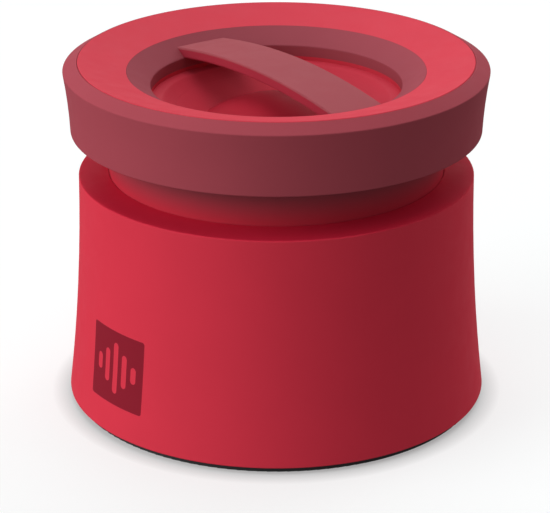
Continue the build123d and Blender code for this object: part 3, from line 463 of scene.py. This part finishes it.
SURFACES = {
    body_red: ("lower_shell",),
    neck_painted_shade: ("neck_sleeve",),
    ring_red: ("funnel_ring",),
    strap_shaded_red: ("strap_core",),
    driver_red: ("cone", "surround", "driver_gasket"),
    dome_red: ("dust_cap",),
    cap_maroon: ("cap_shell",),
    ring_maroon: ("inner_ring",),
    strap_maroon: ("carry_strap",),
    badge_maroon: ("front_badge",),
    key_maroon: ("volume_down_key", "play_key", "volume_up_key"),
    black_rubber: ("foot_pad", "sleeve_seal"),
    black_plastic: ("base_plate", "radio_module", "amplifier_chip", "board_chips", "switch_bodies",
                    "microphone"),
    screw_steel: ("base_screws", "board_screws", "ring_screws", "cap_screws"),
    basket_steel: ("driver_basket", "yoke_cup", "pole_plate"),
    socket_steel: ("usb_socket",),
    ceramic_surface(): ("magnet",),
    winding_surface(): ("coil_winding",),
    film_surface(): ("coil_former",),
    spider_surface(): ("spider",),
    board_surface(): ("main_board",),
    capacitor_surface(): ("board_capacitors",),
    connector_white: ("speaker_connector", "battery_connector"),
    terminal_surface(): ("terminal_tab",),
    foil_surface(): ("battery_cell",),
    foam_surface(): ("battery_pad",),
    lead_red: ("battery_leads", "speaker_leads"),
    clear_surface(): ("light_pipe",),
    led_surface(): ("status_led",),
}

for surface, names in SURFACES.items():
    for name in names:
        nodes[name].data.materials.clear()
        nodes[name].data.materials.append(surface.material)


# ---- floor ----------------------------------------------------------------------------

FLOOR_SIZE = 6.0
# A little short of red, to make up for the red that the object throws on it
FLOOR_COLOUR = (0.32, 0.34, 0.34)
FLOOR_CLOUD = 200 * MM
FLOOR_DRIFT = 1.01
# The floor's own glow at the foot's edge and beyond, and the distances from the axis
# between which it grows: the dimmer glow near the foot is a painted contact shadow
PAINTED_SHADOW_GLOW = 0.34
FLOOR_GLOW = 0.655
PAINTED_SHADOW_SPAN = (31.6 * MM, 35.2 * MM)


def add_floor():
    """A white sweep that glows a little, so shadows on it stay pale, and throws no light up; its
    glow dims near the foot as a painted contact shadow.
    """
    data = bpy.data.meshes.new("floor")
    mesh = bmesh.new()
    bmesh.ops.create_grid(mesh, x_segments=1, y_segments=1, size=FLOOR_SIZE / 2)
    mesh.to_mesh(data)
    mesh.free()
    floor = bpy.data.objects.new("floor", data)
    bpy.context.collection.objects.link(floor)
    floor.visible_diffuse = False
    floor.visible_glossy = False
    paper = Surface("floor_paper", Roughness=0.9, Specular_IOR_Level=0.1)
    paper.shader.inputs["Emission Color"].default_value = (1, 1, 1, 1)
    # Dimmer glow near the foot: a painted contact shadow
    paper.spread("Emission Strength", paper.distance(), PAINTED_SHADOW_SPAN, (PAINTED_SHADOW_GLOW, FLOOR_GLOW))
    paper.shades(paper.noise(FLOOR_CLOUD), FLOOR_COLOUR, tint(FLOOR_COLOUR, FLOOR_DRIFT))
    floor.data.materials.append(paper.material)


add_floor()


# ---- mesh helpers ---------------------------------------------------------------------

# Edges that turn by more than this many degrees stay sharp
SHARP = 35
SHARP_SKIN = 50
SHARP_LEAD = 60


def add_piece(name, mesh, surface, sharp=SHARP):
    """Make a smooth-shaded object of this bmesh, with its creases kept sharp."""
    data = bpy.data.meshes.new(name)
    bmesh.ops.recalc_face_normals(mesh, faces=mesh.faces)
    mesh.to_mesh(data)
    mesh.free()
    data.polygons.foreach_set("use_smooth", [True] * len(data.polygons))
    data.set_sharp_from_angle(angle=math.radians(sharp))
    data.materials.append(surface.material)
    piece = bpy.data.objects.new(name, data)
    bpy.context.collection.objects.link(piece)
    return piece


def sector_mesh(top, under, angle, width, steps):
    """A closed slice of a turned ring between two (radius, height) lines of equal length."""
    mesh = bmesh.new()
    rings = []
    for step in range(steps + 1):
        turn = angle + width * (step / steps - 0.5)
        rings.append([
            [mesh.verts.new((r * math.cos(turn), r * math.sin(turn), z)) for r, z in line]
            for line in (top, under)
        ])
    last = len(top) - 1
    for near, far in zip(rings, rings[1:]):
        for side in (0, 1):
            for i in range(last):
                mesh.faces.new((near[side][i], near[side][i + 1], far[side][i + 1], far[side][i]))
        for i in (0, last):
            mesh.faces.new((near[0][i], near[1][i], far[1][i], far[0][i]))
    for end in (rings[0], rings[-1]):
        for i in range(last):
            mesh.faces.new((end[0][i], end[0][i + 1], end[1][i + 1], end[1][i]))
    return mesh


def bow(start, end, rise, count):
    """Points of a line between two (radius, height) ends, raised by this much at its middle."""
    points = []
    for i in range(count):
        t = i / (count - 1)
        crown = 4 * rise * t * (1 - t)
        r = start[0] + (end[0] - start[0]) * t
        z = start[1] + (end[1] - start[1]) * t
        points.append((r, z + crown))
    return points


# ---- the driver's rubber surround, which flexes as the cone moves -----------------------

SECTORS = 24
SECTOR_STEPS = 12
SKIN_POINTS = 9
SKIN_T = 0.3 * MM
SAG = 0.06 * MM
RIM_R = 17.2 * MM
CREASE_WIDTH = 0.2 * MM
CREASE_DEPTH = 0.1 * MM
CONE_T = 0.6 * MM
GLUE_WIDTH = 0.8 * MM
GLUE_GAP = 0.02 * MM


def add_surround():
    """Slices of the skin, each a turned section between the flange and the cone."""
    flange_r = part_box("surround")[1].x
    flange_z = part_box("driver_gasket")[0].z
    seat_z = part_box("driver_basket")[1].z
    cone_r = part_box("cone")[1].x
    cone_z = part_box("cone")[1].z
    slope = (cone_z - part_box("dust_cap")[0].z) / (cone_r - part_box("dust_cap")[1].x)
    skin_r = RIM_R - CREASE_WIDTH
    inner_r = cone_r + GLUE_GAP
    glue_z = cone_z - CONE_T - GLUE_GAP
    end_r = cone_r - GLUE_WIDTH
    end_z = glue_z - GLUE_WIDTH * slope
    top = [(flange_r, flange_z), (RIM_R, flange_z)]
    top += bow((skin_r, flange_z - CREASE_DEPTH), (inner_r, cone_z), -SAG, SKIN_POINTS)
    top += [(inner_r, glue_z), (end_r, end_z)]
    under = [(flange_r, seat_z), (RIM_R, seat_z)]
    under += bow((skin_r - SKIN_T, seat_z), (inner_r + SKIN_T, glue_z), 0, SKIN_POINTS)
    under += [(inner_r, glue_z - SKIN_T * slope), (end_r, end_z - SKIN_T)]
    width = 2 * math.pi / SECTORS
    for number in range(SECTORS):
        angle = number * width
        mesh = sector_mesh(top, under, angle, width, SECTOR_STEPS)
        name = f"surround_skin_{number + 1:02d}"
        piece = add_piece(name, mesh, driver_red, sharp=SHARP_SKIN)
        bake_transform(piece)
        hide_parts("surround")


add_surround()


# ---- speaker leads, which bend as the top slides down ------------------------------------

LEAD_R = 0.5 * MM
LEAD_PLACES = {"speaker_lead_plus": 1.2 * MM, "speaker_lead_minus": -1.2 * MM}
LEAD_ORDER = 3
LEAD_STEPS = 12
LEAD_SIDES = 4
MERGE = 0.001 * MM
# Bends of the slack lead in mm: distance out from the axis, and height above the connector
LEAD_ROUTE = ((18.4, 0), (18.4, 3.6), (20.6, 8.0), (16.8, 13.0), (18.4, 17.4), (18.4, 20.7))


def tube_from(name, points, radius, surface):
    """A round tube along a smooth line that these control points pull into shape."""
    curve = bpy.data.curves.new(name, "CURVE")
    curve.dimensions = "3D"
    spline = curve.splines.new("NURBS")
    spline.points.add(len(points) - 1)
    for spot, point in zip(spline.points, points):
        spot.co = (*point, 1)
    spline.order_u = LEAD_ORDER
    spline.use_endpoint_u = True
    spline.resolution_u = LEAD_STEPS
    curve.bevel_depth = radius
    curve.bevel_resolution = LEAD_SIDES
    curve.use_fill_caps = True
    line = bpy.data.objects.new(name + "_line", curve)
    bpy.context.collection.objects.link(line)
    bpy.context.view_layer.update()
    depsgraph = bpy.context.evaluated_depsgraph_get()
    made = bpy.data.meshes.new_from_object(line.evaluated_get(depsgraph))
    mesh = bmesh.new()
    mesh.from_mesh(made)
    bmesh.ops.remove_doubles(mesh, verts=mesh.verts, dist=MERGE)
    bpy.data.objects.remove(line)
    return add_piece(name, mesh, surface, sharp=SHARP_LEAD)


def add_leads():
    """Two insulated wires from the board's connector to the driver's tab."""
    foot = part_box("speaker_leads")[0].z
    for name, across in LEAD_PLACES.items():
        points = [(x * MM, across, foot + h * MM) for x, h in LEAD_ROUTE]
        piece = tube_from(name, points, LEAD_R, lead_red)
        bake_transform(piece)
        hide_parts("speaker_leads")


add_leads()


# ---- charging socket's contacts ----------------------------------------------------------

CONTACTS = 5
CONTACT_PITCH = 0.65 * MM
CONTACT_WIDTH = 0.34 * MM
CONTACT_LENGTH = 3.2 * MM
CONTACT_T = 0.08 * MM
CONTACT_ROUND = 0.015 * MM
# How far each contact turns up over the tongue's nose, as a part of the tongue's thickness
NOSE_TURN = 0.7
# The tongue's top above the socket's middle, and its thickness
TONGUE_TOP = 0.55 * MM
TONGUE_T = 0.6 * MM


def add_contacts():
    """Gold strips along the tongue's underside, each turned up over its nose."""
    low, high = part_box("usb_socket")
    middle = (low.x + high.x) / 2
    under_z = (low.z + high.z) / 2 + TONGUE_TOP - TONGUE_T
    nose_y = high.y
    nose_z = under_z + TONGUE_T * NOSE_TURN
    profile = (
        (nose_y - CONTACT_LENGTH, under_z),
        (nose_y, under_z),
        (nose_y, nose_z),
        (nose_y + CONTACT_T, nose_z),
        (nose_y + CONTACT_T, under_z - CONTACT_T),
        (nose_y - CONTACT_LENGTH, under_z - CONTACT_T),
    )
    mesh = bmesh.new()
    for number in range(CONTACTS):
        x = middle + (number - (CONTACTS - 1) / 2) * CONTACT_PITCH
        left = [mesh.verts.new((x - CONTACT_WIDTH / 2, y, z)) for y, z in profile]
        right = [mesh.verts.new((x + CONTACT_WIDTH / 2, y, z)) for y, z in profile]
        mesh.faces.new(left)
        mesh.faces.new(right[::-1])
        for i in range(len(profile)):
            j = (i + 1) % len(profile)
            mesh.faces.new((left[i], left[j], right[j], right[i]))
    bmesh.ops.bevel(mesh, geom=mesh.edges[:], offset=CONTACT_ROUND, segments=2, affect="EDGES")
    piece = add_piece("usb_contacts", mesh, contact_gold)
    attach(piece, "base")


add_contacts()
